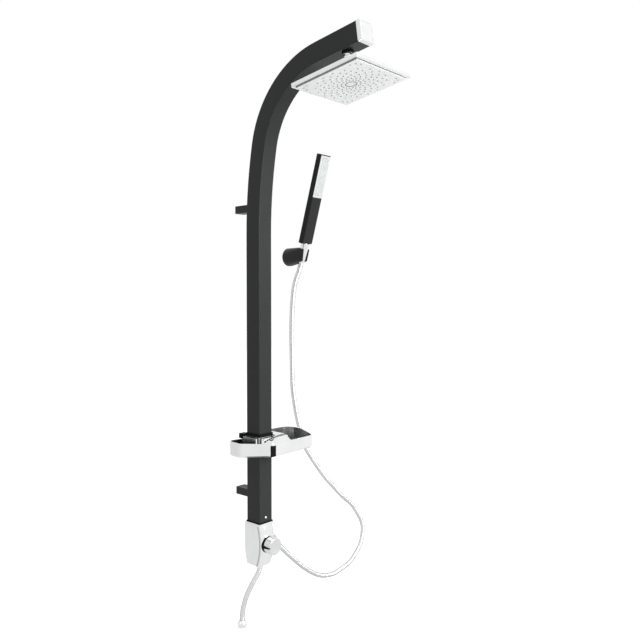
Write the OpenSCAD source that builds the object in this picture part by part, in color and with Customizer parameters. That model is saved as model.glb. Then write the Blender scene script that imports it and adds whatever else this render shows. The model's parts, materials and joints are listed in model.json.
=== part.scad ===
// Rain shower set: a bent square column held off the wall by two brackets, with a square rain head on a
// ball joint, a diverter housing at its foot, a hand shower in its own wall holder, a hose and a tray.
// Millimetres. +X is right, +Y goes into the wall and +Z is up. The wall is the plane y = 0, and the
// origin is the hole for the lower bracket's wall screw.

/* [Column] */
// Width of the column across its front
col_w = 46; // [42:1:60]
// Depth of the column from back to front
col_d = 49; // [44:1:60]
// Wall of the column tube
col_wall = 2; // [1.5:0.5:3]
// Rounding of the column's long edges
col_r = 2.5; // [1:0.5:4]
// Gap between the wall and the back of the column
stand_off = 52; // [44:1:70]
// Drop from the lower bracket to the top of the housing
col_low = 72; // [66:1:100]
// Height above the lower bracket where the column starts to bend
col_high = 692; // [600:1:740]
// Radius of the first, slight bend, on the column's back
bend_1_r = 1225; // [900:5:1500]
// Angle at the end of the first bend
bend_1_a = 11; // [6:1:16]
// Radius of the second bend, on the column's back
bend_2_r = 260; // [200:5:320]
// Angle at the end of the second bend
bend_2_a = 82; // [70:1:90]
// Straight length of the arm after the bends
arm_l = 132; // [110:1:180]
// Thickness of the cap on the arm's end
cap_t = 12; // [8:1:20]
// Height of the dark plug in the column's front
plug_z = 505; // [420:5:600]

/* [Wall brackets] */
// Distance between the two brackets
bracket_gap = 760; // [600:5:780]
// Width of a bracket
bracket_w = 30; // [26:1:36]
// Height of a bracket
bracket_h = 20; // [18:1:30]
// Rounding where a bracket meets the column
bracket_flare = 4; // [2:0.5:6]
// Thickness of the plate inside a bracket
plate_t = 12; // [9:1:16]
// Diameter of the holes for the wall screws
wall_screw_d = 5.5; // [4:0.5:6.5]

/* [Rain head] */
// Side of the square head
head_w = 200; // [160:5:300]
// Height of the head's casing
head_h = 12.5; // [11:0.5:22]
// Ledge of the casing round the spray face
ledge_w = 7.5; // [4:0.5:12]
// Distance from the arm to the spray face
head_drop = 77; // [74:1:95]
// Distance of the neck from the arm's end
neck_in = 50; // [42:1:70]
// Diameter of the neck's ball
ball_d = 22; // [20:1:26]
// Distance from the arm to the ball's centre
ball_drop = 28; // [27:1:34]
// Diameter of one rubber nozzle
nozzle_d = 3.2; // [2:0.1:3.6]
// Rings of nozzles
nozzle_rings = 8; // [4:1:8]
// Nozzles in each ring
nozzle_arms = 18; // [8:1:20]

/* [Diverter] */
// Metal of the housing round the column
housing_wall = 4; // [3:0.5:6]
// Height of the housing
housing_h = 112; // [108:1:130]
// Depth of the socket that takes the column
socket_d = 8; // [6:1:12]
// Radius of the bowed front, seen from above
bow_r = 44.5; // [42:0.5:50]
// Radius of the bowed front, seen from the side
bulge_r = 184; // [150:2:260]
// Diameter of the knob
knob_d = 45; // [38:1:48]
// Length of the knob
knob_l = 22; // [16:1:30]
// Diameter of the cartridge
cartridge_d = 28; // [24:1:30]
// Diameter of the threads for the hoses
thread_d = 19; // [17:0.5:20]

/* [Hand shower] */
// Sideways place of the holder on the wall
holder_x = 188; // [180:1:260]
// Height of the holder's wall end
holder_z = 642; // [560:1:700]
// Diameter of the holder at the wall
holder_d = 52; // [44:1:60]
// Distance from the wall to the middle of the clip
clip_out = 58.5; // [54:0.5:75]
// Height of the clip's middle above the wall end's middle
clip_up = 6; // [0:1:12]
// Outer diameter of the clip
clip_d = 31; // [29:0.5:36]
// Height of the clip
clip_h = 33; // [24:1:36]
// Forward lean of the hand shower
lean = 16.5; // [5:0.5:25]
// Length of the hand shower's body
hand_l = 252; // [220:1:300]
// Width of the hand shower's body
hand_w = 39; // [34:1:50]
// Depth of the hand shower's body
hand_t = 19.5; // [15:0.5:26]
// Length of its spray plate
spray_l = 116; // [80:1:130]
// Diameter of the hose
hose_d = 13.5; // [12:0.5:15]

/* [Tray] */
// Height of the tray's underside
tray_z = 107; // [90:1:200]
// Height of the tray's front wall
tray_h = 34.5; // [26:0.5:40]
// Wall of the tray
tray_wall = 2.5; // [2:0.5:4]
// Width of the dark insert in the tray's front
insert_w = 17; // [10:1:24]
// Wall of the clamp round the column
clamp_wall = 3; // [2.5:0.5:6]
// Height of the clamp
clamp_h = 8; // [6:1:14]

/* [Hidden] */
$fn = 48;
// Gap round a fixed piece in its seat, and radial gap of a piece that turns in its seat
fit = 0.15;
run = 0.05;
// More than enough to cut right through
cut = 1;

// Colours
black = "#26282a";
dark = "#17181a";
chrome = "#dfe3e6";
grey = "#cfd8d4";
steel = "#b4b8bb";
brass = "#c2a355";
rubber = "#2d2d2f";

// Bend centres of the column's back, as [y, z], and the neck's place along the arm
bend_1 = [-stand_off - bend_1_r, col_high];
bend_2 = bend_1 + (bend_1_r - bend_2_r) * [cos(bend_1_a), sin(bend_1_a)];
neck_at = arm_l - neck_in;
col_front = -stand_off - col_d;
col_mid = -stand_off - col_d / 2;

// Water way in the column
riser_d = 14;
riser_bore = 10;

// Brackets
plate_w = bracket_w - 4;
plate_h = bracket_h - 4;
pocket = plate_t + 2;
bracket_screw_x = 8;
bracket_screw_d = 4;
bracket_screw_head = 3;
grub_d = 4;

// Neck and head, measured down from the arm
collar_d = 28;
collar_h = 5;
stem_d = 10;
seat_t = 1.5;
seat_r = ball_d / 2 + run + seat_t;
nut_r = seat_r + 3;
nut_top = ball_drop - seat_r + 1;
nut_low = ball_drop + seat_r - 0.5;
thread_r = seat_r + 1;
head_back = head_drop - head_h;
face_w = head_w - 2 * ledge_w;
// Seam between casing and face, and how far the face's upper part is drawn in
seam_h = 3;
plate_low = 0.85;
face_in = 3;
lip_h = 4.5;
face_t = 3.5;
mat_t = 1.5;
swing = 15;

// Housing and knob
housing_top = -col_low;
housing_low = housing_top - housing_h;
housing_w = col_w + 2 * housing_wall;
bow_y = -stand_off - 16.6;
bulge_z = housing_top - 54;
knob_z = housing_top - 56;
pad_y = bow_y - bow_r - 0.9;
ring_t = 1.5;
ring_seat = pad_y + 7.5;
ring_r = knob_d / 2 - 0.3;
rim_h = 6;
knob_back = pad_y - ring_t - 0.3;
cartridge_l = 37.5;
spool_d = 14;
stem_r = 5;
port_y = pad_y + 23;
water_d = 8;
// The outlet runs down at 45 degrees from the elbow's corner, and the inlet comes up from below
elbow = [housing_w / 2 + 4, col_mid, housing_top - 43];
outlet_l = 38.2;
inlet = [0, col_mid, housing_low];
end_nut_l = 18;
supply_nut_l = 15;

// Hand shower, measured along its axis from the clip's middle
clip_mid = [holder_x, -clip_out, holder_z + clip_up];
cone_r = 11.2;
cone_slope = 0.0417;
nut_high = 31;
nut_foot = -18;
hand_low = nut_high + 1;
ferrule_l = 8;
spray_low = hand_low + hand_l - spray_l - 3;

// Tray, as [x, y, radius] of its outline's corners
tray_corners = [[4, -117, 14], [-46, -62, 22], [-48, -44, 20], [125, -66, 34], [147, -104, 20]];
tray_front = -131;
rim_z = tray_z + tray_h;
bridge_left = -30;
bridge_back = -56;
groove_y = -113;
bridge_crest = 52;
rib_step = 7;
ribs = 5;
insert_h = tray_h - 5.5;
// Collar round the column under the clamp, a gap, and the sleeve round it
collar_wall = clamp_wall + 1;
sleeve_gap = 4;
collar_back = -stand_off + collar_wall;
clamp_z = tray_z + 51;
ear_x = -col_w / 2 - clamp_wall - 4;
ear_w = 18;
ear_end = -29;
ear_z = clamp_z - 9;
ear_h = 12;
clamp_screw_y = ear_end - 10;
// More than enough to reach over the tray
far = 600;

// Routes of the hoses' middles
hose_route = [[78, -76.5, -162], [106, -76, -190], [139, -76, -220], [172, -75, -248],
    [205, -74, -272], [236, -73, -290], [268, -72, -302], [312, -70, -309], [357, -68, -304], [390, -66, -298],
    [416, -64, -285], [440, -62, -267], [456, -60, -248], [465, -57, -229], [468, -56, -210], [463, -54, -188],
    [452, -52, -168], [438, -50, -147], [422, -48, -127], [398, -46, -107], [372, -44, -85], [342, -42, -56],
    [311, -40, -26], [293, -38, -5], [277, -36, 15], [262, -35, 33], [248, -34, 52], [236, -33, 68],
    [226, -31, 86], [216, -29, 114], [204, -28, 148], [193, -27, 188], [185, -26, 228], [180, -25, 264],
    [178, -25, 300]];
hose_top_route = [[178, -25, 300], [177, -25, 340], [176, -25, 388], [175, -25.5, 417], [175, -26, 446],
    [175, -27, 475], [175, -29, 503], [175, -32, 530], [175.5, -36, 556], [178, -42, 580], [183, -48.5, 602]];
supply_route = [[-2, -75.5, -209], [-6, -73, -218], [-12, -69, -230], [-18, -65, -243], [-24, -60, -258],
    [-29, -55, -275], [-32, -50, -294], [-34, -46, -315]];
supply_end = [-34, -44, -340];

// Rounded rectangle, a across x and b across y
module rounded_rect(a, b, r) {
    square([a - 2 * r, b], center = true);
    square([a, b - 2 * r], center = true);
    for (sx = [-1, 1], sy = [-1, 1])
        translate([sx * (a / 2 - r), sy * (b / 2 - r)]) circle(r, $fn = 32);
}

// Cylinder between two points
module rod(p, q, r) {
    v = q - p;
    l = norm(v);
    translate(p) rotate([0, acos(v[2] / l), atan2(v[1], v[0])]) cylinder(h = l, r = r);
}

// Frame on a bend: x points out of the column's back, y along the column and z across it
module on_bend(c, a) {
    rotate([90, 0, 90]) translate([c[0], c[1], 0]) rotate([0, 0, a]) children();
}

// Sweeps a profile along the column, with x = 0 on its back, from a height to a length along the arm
module along_column(low, end_l) {
    on_bend(bend_1, 0) translate([bend_1_r, low - col_high, 0])
        rotate([-90, 0, 0]) linear_extrude(col_high - low) children();
    on_bend(bend_1, 0)
        rotate_extrude(angle = bend_1_a, $fn = 720) translate([bend_1_r, 0]) children();
    on_bend(bend_2, bend_1_a)
        rotate_extrude(angle = bend_2_a - bend_1_a, $fn = 180) translate([bend_2_r, 0]) children();
    on_bend(bend_2, bend_2_a) translate([bend_2_r, 0, 0])
        rotate([-90, 0, 0]) linear_extrude(end_l) children();
}

// Frame on the arm's end: z runs out of the arm
module on_tip() {
    on_bend(bend_2, bend_2_a) translate([bend_2_r - col_d / 2, arm_l, 0]) rotate([-90, 0, 0]) children();
}

// Frame of the neck: z runs from the arm's underside to the head, and y along the arm
module on_neck() {
    on_bend(bend_2, bend_2_a) translate([bend_2_r - col_d, neck_at, 0]) rotate([0, -90, 0]) children();
}

module on_ball() {
    on_neck() translate([0, 0, ball_drop]) children();
}

// Frame of the hand shower: z runs up its middle, and its face looks along -y
module on_clip() {
    translate(clip_mid) rotate([lean, 0, 0]) children();
}

// Frame of the outlet: z runs down along the hose's first stretch
module on_outlet() {
    translate(elbow) rotate([0, 135, 0]) children();
}

// Ring round the z axis
module ring(r_out, r_in, h) {
    difference() {
        cylinder(h = h, r = r_out);
        translate([0, 0, -cut]) cylinder(h = h + 2 * cut, r = r_in);
    }
}

module column_section() {
    translate([-col_d / 2, 0]) rounded_rect(col_d, col_w, col_r);
}

module column_solid() {
    along_column(housing_top - socket_d, arm_l) column_section();
}

module column_tube() {
    color(black) difference() {
        along_column(housing_top - socket_d, arm_l) difference() {
            column_section();
            translate([-col_d / 2, 0]) square([col_d - 2 * col_wall, col_w - 2 * col_wall], center = true);
        }
        // Holes for the plug, the housing's screw, the brackets' screws and the neck
        translate([0, col_front + col_wall + cut, plug_z]) rotate([90, 0, 0]) cylinder(h = 10, r = 4);
        translate([0, col_front + col_wall + cut, housing_top + 14])
            rotate([90, 0, 0]) cylinder(h = 10, r = 2.1);
        for (z = [0, bracket_gap], x = [-1, 1] * bracket_screw_x)
            translate([x, -stand_off + cut, z]) rotate([90, 0, 0]) cylinder(h = col_wall + 6, r = 2.1);
        on_neck() translate([0, 0, -col_wall - cut]) cylinder(h = col_wall + 2 * cut, r = 10.1);
    }
}

module end_cap() {
    lip = 1;
    color(chrome) on_tip() {
        difference() {
            hull() {
                linear_extrude(cap_t - 2) rounded_rect(col_d + 2 * lip, col_w + 2 * lip, col_r + lip);
                linear_extrude(cap_t) rounded_rect(col_d - 2 * lip, col_w - 2 * lip, col_r);
            }
            translate([0, 0, cap_t - 1]) linear_extrude(2) rounded_rect(col_d - 8, col_w - 8, 1.5);
        }
        // Spigot inside the tube
        translate([0, 0, -10]) linear_extrude(10.01) difference() {
            square([col_d - 2 * (col_wall + fit), col_w - 2 * (col_wall + fit)], center = true);
            square([col_d - 2 * (col_wall + fit) - 4, col_w - 2 * (col_wall + fit) - 4], center = true);
        }
    }
}

module column_plug() {
    color(dark) translate([0, col_front, plug_z]) rotate([-90, 0, 0]) {
        cylinder(h = col_wall, r = 4 - fit);
        translate([0, 0, col_wall]) cylinder(h = 1, r = 5);
    }
}

// The pipe starts on the housing's floor and ends in the neck fitting
module riser_tube() {
    color(brass) along_column(housing_top - socket_d - 12, neck_at - 8) translate([-col_d / 2, 0]) difference() {
        circle(riser_d / 2);
        circle(riser_bore / 2);
    }
}

module neck_fitting() {
    mid = -col_d / 2;
    color(brass) on_neck() difference() {
        union() {
            translate([0, 0, mid - 13]) cylinder(h = -col_wall - mid + 13, r = 13);
            translate([0, 0, -col_wall - 0.01]) cylinder(h = col_wall + collar_h - 1, r = 10);
            translate([0, 0, mid]) rotate([90, 0, 0]) cylinder(h = 24, r = 10);
        }
        translate([0, -7.7, mid]) rotate([90, 0, 0]) cylinder(h = 20, r = riser_d / 2 + run);
        translate([0, 0, mid]) rotate([90, 0, 0]) cylinder(h = 12, r = riser_bore / 2);
        translate([0, 0, mid]) cylinder(h = 40, r = riser_bore / 2);
        translate([0, 0, -14]) cylinder(h = 40, r = 6.6);
    }
}

module neck_collar() {
    bore = 10.1;
    ease = 2;
    color(dark) on_neck() rotate_extrude() {
        translate([bore, 0]) square([collar_d / 2 - bore, collar_h - ease]);
        translate([bore, 0]) square([collar_d / 2 - bore - ease, collar_h]);
        translate([collar_d / 2 - ease, collar_h - ease]) circle(ease, $fn = 32);
    }
}

// Stem with a thread above, a hexagon and the ball
module ball_stem() {
    color(chrome) on_neck() difference() {
        union() {
            translate([0, 0, -13]) cylinder(h = collar_h + 13, r = 6.55);
            translate([0, 0, collar_h]) cylinder(h = 5, r = 10, $fn = 6);
            cylinder(h = ball_drop, r = stem_d / 2);
            translate([0, 0, ball_drop]) sphere(ball_d / 2);
        }
        translate([0, 0, -20]) cylinder(h = 80, r = 3);
    }
}

// Plastic ring that slides on the ball's upper half, inside the nut
module ball_slip_ring() {
    color(dark) on_ball() difference() {
        sphere(seat_r);
        sphere(ball_d / 2 + run);
        translate([0, 0, -3]) cylinder(h = 20, r = 20);
        translate([0, 0, -20]) cylinder(h = 20, r = stem_d / 2 + 1);
    }
}

// Nut that holds the ball from above. Its mouth is a cone, so that the head can tilt
module ball_nut() {
    mouth = asin(stem_d / 2 / seat_r) + swing + 2;
    bevel = 4;
    low = nut_low - ball_drop;
    top = nut_top - ball_drop;
    color(chrome) on_ball() difference() {
        union() {
            translate([0, 0, top + bevel]) cylinder(h = low - top - bevel, r = nut_r);
            translate([0, 0, top]) cylinder(h = bevel, r1 = nut_r - bevel, r2 = nut_r);
        }
        sphere(seat_r + run);
        cylinder(h = 3.01, r = seat_r + run);
        translate([0, 0, 3]) cylinder(h = 20, r = thread_r + run);
        translate([0, 0, -30]) cylinder(h = 30, r1 = 30 * tan(mouth), r2 = 0);
    }
}

// Rubber seat under the ball
module ball_seal() {
    color(rubber) on_ball() difference() {
        translate([0, 0, 3.2]) cylinder(h = 11.8, r = seat_r - run);
        sphere(ball_d / 2 + run);
        cylinder(h = 20, r = 4.5);
    }
}

module inlet_filter() {
    color(steel) on_ball() translate([0, 0, 15.1]) difference() {
        cylinder(h = 3, r = 9);
        for (i = [0 : 5]) rotate([0, 0, 60 * i]) translate([5, 0, -cut]) cylinder(h = 6, r = 1.4);
        translate([0, 0, -cut]) cylinder(h = 6, r = 1.4);
    }
}

// A square slab with rounded corners and eased edges, its underside at z = 0
module eased_slab(w, h, corner, ease) {
    module edge() {
        translate([0, h / 2]) rounded_rect(w, h, ease);
    }
    intersection() {
        linear_extrude(h) rounded_rect(w, w, corner);
        rotate([90, 0, 0]) translate([0, 0, -w]) linear_extrude(2 * w) edge();
        rotate([90, 0, 90]) translate([0, 0, -w]) linear_extrude(2 * w) edge();
    }
}

// Side of the face's upper part, and the gap round it
face_top = face_w - 2 * face_in;
face_gap = 0.3;

module head_shell() {
    hub_top = ball_drop + 3.2;
    color(chrome) on_neck() difference() {
        union() {
            translate([0, 0, head_back]) eased_slab(head_w, head_h - seam_h, 6, 2);
            translate([0, 0, hub_top]) cylinder(h = nut_low - hub_top, r = thread_r);
            translate([0, 0, nut_low]) cylinder(h = head_back - nut_low - 1, r1 = nut_r + 1, r2 = nut_r + 9);
            translate([0, 0, head_back - 1.01]) cylinder(h = 2, r = nut_r + 9);
        }
        // Space for the spray face and the water behind it
        translate([0, 0, head_drop - lip_h - cut]) linear_extrude(20)
            rounded_rect(face_top + 2 * face_gap, face_top + 2 * face_gap, 2);
        translate([0, 0, head_back + 2]) linear_extrude(head_h - lip_h - 2)
            rounded_rect(face_w + 6, face_w + 6, 3);
        // Seat of the seal and the filter, and the water way
        translate([0, 0, hub_top - cut]) cylinder(h = 11.8 + cut, r = seat_r);
        translate([0, 0, ball_drop + 14.9]) cylinder(h = 3.2, r = 9.1);
        cylinder(h = head_drop, r = 5);
    }
}

// Places of the nozzles: rings that turn a little from one to the next, and three in each corner
function nozzle_r(i) = 13 + (face_w / 2 - 13 - 10) * i / (nozzle_rings - 1);
nozzle_places = concat(
    [for (i = [0 : nozzle_rings - 1], j = [0 : nozzle_arms - 1])
        nozzle_r(i) * [cos(360 * j / nozzle_arms + 10 * i), sin(360 * j / nozzle_arms + 10 * i)]],
    [for (sx = [-1, 1], sy = [-1, 1], k = [[0.4, 0.4], [0.335, 0.42], [0.42, 0.335]])
        face_w * [sx * k[0], sy * k[1]] * 1.05]);

// Dark seal between the casing and the face
module face_gasket() {
    color(rubber) on_neck() translate([0, 0, head_drop - seam_h]) linear_extrude(seam_h - plate_low) difference() {
        rounded_rect(face_w - 1, face_w - 1, 2);
        rounded_rect(face_top + 2 * face_gap, face_top + 2 * face_gap, 2);
    }
}

module head_face() {
    color(grey) on_neck() difference() {
        union() {
            translate([0, 0, head_drop - plate_low]) eased_slab(face_w, plate_low + 0.3, 2, 0.4);
            translate([0, 0, head_drop - face_t]) linear_extrude(face_t) rounded_rect(face_top, face_top, 1.5);
        }
        for (p = nozzle_places)
            translate([p[0], p[1], head_drop - face_t - cut]) cylinder(h = 9, r = nozzle_d / 2 + fit, $fn = 16);
    }
}

// Rubber mat whose nubs stand through the face, on posts of the casing's back
module nozzle_mat() {
    back = head_drop - face_t - mat_t;
    color("#aeb6b3") on_neck() {
        translate([0, 0, back]) linear_extrude(mat_t) rounded_rect(face_top - 2, face_top - 2, 2);
        for (p = nozzle_places)
            translate([p[0], p[1], back + 0.5]) cylinder(h = face_t + mat_t + 0.9, r = nozzle_d / 2, $fn = 16);
    }
}

// Bracket outline from the side, flared at the column
module bracket_outline() {
    deep = stand_off + 4;
    h = bracket_h / 2;
    f = bracket_flare;
    translate([-deep, -h]) square([deep, bracket_h]);
    for (s = [-1, 1]) difference() {
        translate([-deep, s > 0 ? h - 1 : -h - f]) square([4 + f, f + 1]);
        translate([-deep + 4 + f, s * (h + f)]) circle(f, $fn = 48);
    }
}

module wall_bracket(z) {
    color(dark) difference() {
        translate([-bracket_w / 2, 0, z]) rotate([90, 0, 90]) linear_extrude(bracket_w) bracket_outline();
        column_solid();
        translate([-plate_w / 2 - fit, -pocket, z - plate_h / 2 - fit])
            cube([plate_w + 2 * fit, pocket + cut, plate_h + 2 * fit]);
        for (x = [-1, 1] * bracket_screw_x) translate([x, 0, z]) rotate([90, 0, 0]) {
            cylinder(h = 2 * stand_off, r = bracket_screw_d / 2 + fit);
            cylinder(h = pocket + bracket_screw_head + fit, r = 3.65);
        }
        translate([0, -plate_t / 2, z - bracket_h]) cylinder(h = bracket_h, r = grub_d / 2 + run);
    }
}

module lower_bracket() {
    wall_bracket(0);
}

module upper_bracket() {
    wall_bracket(bracket_gap);
}

module wall_plate(z) {
    color(steel) difference() {
        translate([-plate_w / 2, -plate_t, z - plate_h / 2]) cube([plate_w, plate_t, plate_h]);
        translate([0, cut, z]) rotate([90, 0, 0]) cylinder(h = plate_t + 2 * cut, r = wall_screw_d / 2);
        translate([0, -plate_t / 2, z - plate_h]) cylinder(h = plate_h / 2 + 3, r = grub_d / 2 + run);
    }
}

module lower_wall_plate() {
    wall_plate(0);
}

module upper_wall_plate() {
    wall_plate(bracket_gap);
}

// Two screws from the floor of each bracket's pocket into the column's back
module bracket_screws() {
    color(steel) for (z = [0, bracket_gap], x = [-1, 1] * bracket_screw_x)
        translate([x, -pocket - fit, z]) rotate([90, 0, 0]) {
            cylinder(h = bracket_screw_head, r = 3.5);
            cylinder(h = stand_off + col_wall + 4 - pocket, r = bracket_screw_d / 2);
        }
}

module bracket_grub_screws() {
    color(steel) for (z = [0, bracket_gap])
        translate([0, -plate_t / 2, z - bracket_h / 2 + 0.2]) cylinder(h = 4.5, r = grub_d / 2);
}

// Seal round the column, on the housing
module foot_seal() {
    color(dark) translate([0, col_mid, housing_top]) linear_extrude(2.5) difference() {
        rounded_rect(col_w + 5, col_d + 5, col_r + 2);
        rounded_rect(col_w + 2 * run, col_d + 2 * run, col_r + run);
    }
}

// Side outline of the housing, tapered in at the foot of its back
module housing_side() {
    back = -stand_off + housing_wall;
    taper_h = 44;
    taper_r = 112;
    translate([-150, housing_low + taper_h]) square([150 + back, housing_h - taper_h]);
    intersection() {
        translate([-150, housing_low]) square([150 + back, taper_h + 0.01]);
        translate([back - taper_r, housing_low + taper_h]) circle(taper_r, $fn = 240);
    }
}

// Flat rim round the column, drawn in a little towards its top
module housing_rim() {
    ease = 1;
    back = -stand_off + housing_wall;
    front = col_front - housing_wall - 0.5;
    translate([0, 0, housing_top - rim_h]) intersection() {
        rotate([90, 0, 90]) translate([0, 0, -housing_w / 2]) linear_extrude(housing_w)
            polygon([[back, 0], [front, 0], [front + ease, rim_h], [back, rim_h]]);
        translate([0, back, 0]) rotate([90, 0, 0]) linear_extrude(back - front) polygon([[-housing_w / 2, 0],
            [housing_w / 2, 0], [housing_w / 2 - ease, rim_h], [ease - housing_w / 2, rim_h]]);
    }
}

// Body with a front that bows both ways, under the rim
module housing_body() {
    high = housing_h - rim_h;
    intersection() {
        union() {
            translate([0, bow_y, 0]) rotate_extrude($fn = 180) intersection() {
                translate([0, housing_low]) square([60, high]);
                translate([bow_r - bulge_r, bulge_z]) circle(bulge_r, $fn = 360);
            }
            translate([-housing_w / 2, bow_y, housing_low])
                cube([housing_w, -stand_off + housing_wall - bow_y, high]);
        }
        rotate([90, 0, 90]) translate([0, 0, -housing_w / 2]) linear_extrude(housing_w) housing_side();
    }
}

// Tongue inside the column for the screw in its front
module housing_tongue(below) {
    translate([-14, col_front + col_wall + fit, housing_top - socket_d - below]) cube([28, 4, socket_d + 25]);
}

module diverter_housing() {
    floor_z = housing_top - socket_d;
    port = [0, port_y, knob_z];
    side_bore = [housing_w / 2 - 14, col_mid, elbow[2]];
    color(chrome) difference() {
        union() {
            housing_body();
            housing_rim();
            housing_tongue(1);
        }
        difference() {
            translate([0, col_mid, floor_z]) linear_extrude(socket_d + cut)
                rounded_rect(col_w + 2 * run, col_d + 2 * run, col_r + run);
            housing_tongue(2);
        }
        translate([0, col_front, housing_top + 14]) rotate([-90, 0, 0]) cylinder(h = 12, r = 2);
        // Seat of the dark ring
        translate([0, ring_seat, knob_z]) rotate([90, 0, 0]) cylinder(h = 20, r = ring_r + fit);
        // Cartridge, its ways to the column, the outlet and the inlet
        translate([0, pad_y - cut, knob_z]) rotate([-90, 0, 0])
            cylinder(h = cartridge_l + cut + fit, r = cartridge_d / 2 + fit);
        rod(port, [0, col_mid, floor_z - 12], water_d / 2);
        translate([0, col_mid, floor_z - 12.2]) cylinder(h = 20, r = riser_d / 2 + fit);
        rod(port, side_bore, 3.5);
        translate(side_bore) rotate([0, 90, 0]) cylinder(h = 20, r = 7.1);
        rod(port, [0, col_mid, housing_low + 15], water_d / 2);
        translate([0, col_mid, housing_low - cut]) cylinder(h = 16 + cut, r = thread_d / 2 + run);
    }
}

module housing_screw() {
    color(chrome) translate([0, col_front, housing_top + 14]) rotate([90, 0, 0]) {
        cylinder(h = 1.6, r1 = 3.6, r2 = 2.4);
        translate([0, 0, -9]) cylinder(h = 9.01, r = 2 - run);
    }
}

// Sleeve with a way up, a way to the hose and a way in from below
module diverter_cartridge() {
    color(brass) difference() {
        translate([0, pad_y + 0.1, knob_z]) rotate([-90, 0, 0]) cylinder(h = cartridge_l - 0.1, r = cartridge_d / 2);
        translate([0, pad_y - cut, knob_z]) rotate([-90, 0, 0]) cylinder(h = cartridge_l - 3, r = spool_d / 2 + run);
        translate([0, port_y, knob_z - 30]) cylinder(h = 60, r = water_d / 2);
        translate([0, port_y, knob_z]) rotate([0, 90, 0]) cylinder(h = 30, r = water_d / 2);
    }
}

// Dark ring between the housing and the knob, let into the bowed front
module cartridge_ring() {
    color(dark) translate([0, 0, knob_z]) rotate([90, 0, 0]) {
        translate([0, 0, -ring_seat]) ring(ring_r, cartridge_d / 2 + fit, ring_seat - pad_y + 0.01);
        translate([0, 0, -pad_y]) ring(ring_r, stem_r + 0.4, ring_t);
    }
}

// Spool with a bent way, which turns with the knob
module spool() {
    color(brass) difference() {
        union() {
            translate([0, pad_y + 1, knob_z]) rotate([-90, 0, 0]) cylinder(h = cartridge_l - 6, r = spool_d / 2);
            translate([0, knob_back - 13, knob_z]) rotate([-90, 0, 0]) cylinder(h = 16, r = stem_r);
        }
        translate([0, port_y, knob_z - 10]) cylinder(h = 10, r = 3.5);
        translate([0, port_y, knob_z - 3.5]) cylinder(h = 20, r = 3.5);
        // Grooves for the seals and a flat for the knob's screw
        for (y = [pad_y + 5, pad_y + 12]) translate([0, y, knob_z]) rotate([-90, 0, 0])
            ring(spool_d, spool_d / 2 - 1, 2);
        translate([-10, knob_back - 14, knob_z - stem_r]) cube([20, 12, 1]);
    }
}

module spool_seals() {
    color(rubber) for (y = [pad_y + 5.2, pad_y + 12.2])
        translate([0, y, knob_z]) rotate([-90, 0, 0]) ring(spool_d / 2, spool_d / 2 - 0.95, 1.6);
}

module knob() {
    ease = 2.5;
    color(chrome) translate([0, knob_back, knob_z]) rotate([90, 0, 0]) difference() {
        rotate_extrude($fn = 96) {
            square([knob_d / 2 - 3, knob_l]);
            translate([0, 1]) square([knob_d / 2 - ease, knob_l - 1]);
            translate([0, 1]) square([knob_d / 2, knob_l - 1 - ease]);
            translate([knob_d / 2 - ease, knob_l - ease]) circle(ease, $fn = 32);
        }
        // Dished front, bore for the stem, hole for the screw and place for the mark
        translate([0, 0, knob_l + 118.6]) sphere(120, $fn = 240);
        translate([0, 0, -cut]) cylinder(h = 14.2, r = stem_r + run);
        translate([0, 0, 7]) rotate([90, 0, 0]) cylinder(h = knob_d, r = 2.05);
        knob_mark(0.1);
    }
}

// Tapered mark on the knob's left side
module knob_mark(gap) {
    translate([-knob_d / 2 + 1.5, 0, 0]) rotate([0, -90, 0]) linear_extrude(3)
        polygon([[1.5 - gap, -4.5 - gap], [1.5 - gap, 4.5 + gap], [knob_l - 2.5 + gap, 0.8 + gap],
            [knob_l - 2.5 + gap, -0.8 - gap]]);
}

module knob_index() {
    color(dark) translate([0, knob_back, knob_z]) rotate([90, 0, 0]) intersection() {
        knob_mark(0);
        cylinder(h = knob_l, r = knob_d / 2, $fn = 180);
    }
}

module knob_screw() {
    color(steel) translate([0, knob_back - 7, knob_z - stem_r + 0.95])
        rotate([180, 0, 0]) cylinder(h = 8, r = 2);
}

// Elbow: a threaded end in the housing, a ball corner and a thread for the hose
module outlet_elbow() {
    color(chrome) difference() {
        union() {
            translate([housing_w / 2 - 13.5, elbow[1], elbow[2]]) rotate([0, 90, 0]) cylinder(h = 17.5, r = 7);
            // The corner is cut off flat on the housing
            intersection() {
                union() {
                    translate([housing_w / 2, elbow[1], elbow[2]]) rotate([0, 90, 0]) cylinder(h = 4, r = 10.5);
                    translate(elbow) sphere(10.5);
                    on_outlet() cylinder(h = 14, r = 10.5);
                }
                translate([housing_w / 2, elbow[1] - 20, elbow[2] - 40]) cube([60, 40, 80]);
            }
            on_outlet() translate([0, 0, 10]) cylinder(h = outlet_l - 16, r = thread_d / 2);
        }
        translate([housing_w / 2 - 20, elbow[1], elbow[2]]) rotate([0, 90, 0]) cylinder(h = 24, r = 4);
        translate(elbow) sphere(4);
        on_outlet() cylinder(h = 60, r = 4);
    }
}

module outlet_washer() {
    color(rubber) on_outlet() translate([0, 0, outlet_l - 5.8]) ring(thread_d / 2 - 0.5, 4.5, 2.2);
}

// The hose's nut on the outlet, with a tapered skirt
module hose_end_nut() {
    color(chrome) on_outlet() translate([0, 0, outlet_l - end_nut_l]) difference() {
        union() {
            cylinder(h = 8, r = 12);
            translate([0, 0, 8]) cylinder(h = end_nut_l - 8, r1 = 12, r2 = 8.6);
        }
        translate([0, 0, -cut]) cylinder(h = end_nut_l - 2.5, r = thread_d / 2 + run);
        cylinder(h = end_nut_l + cut, r = 4.5);
    }
}

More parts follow.
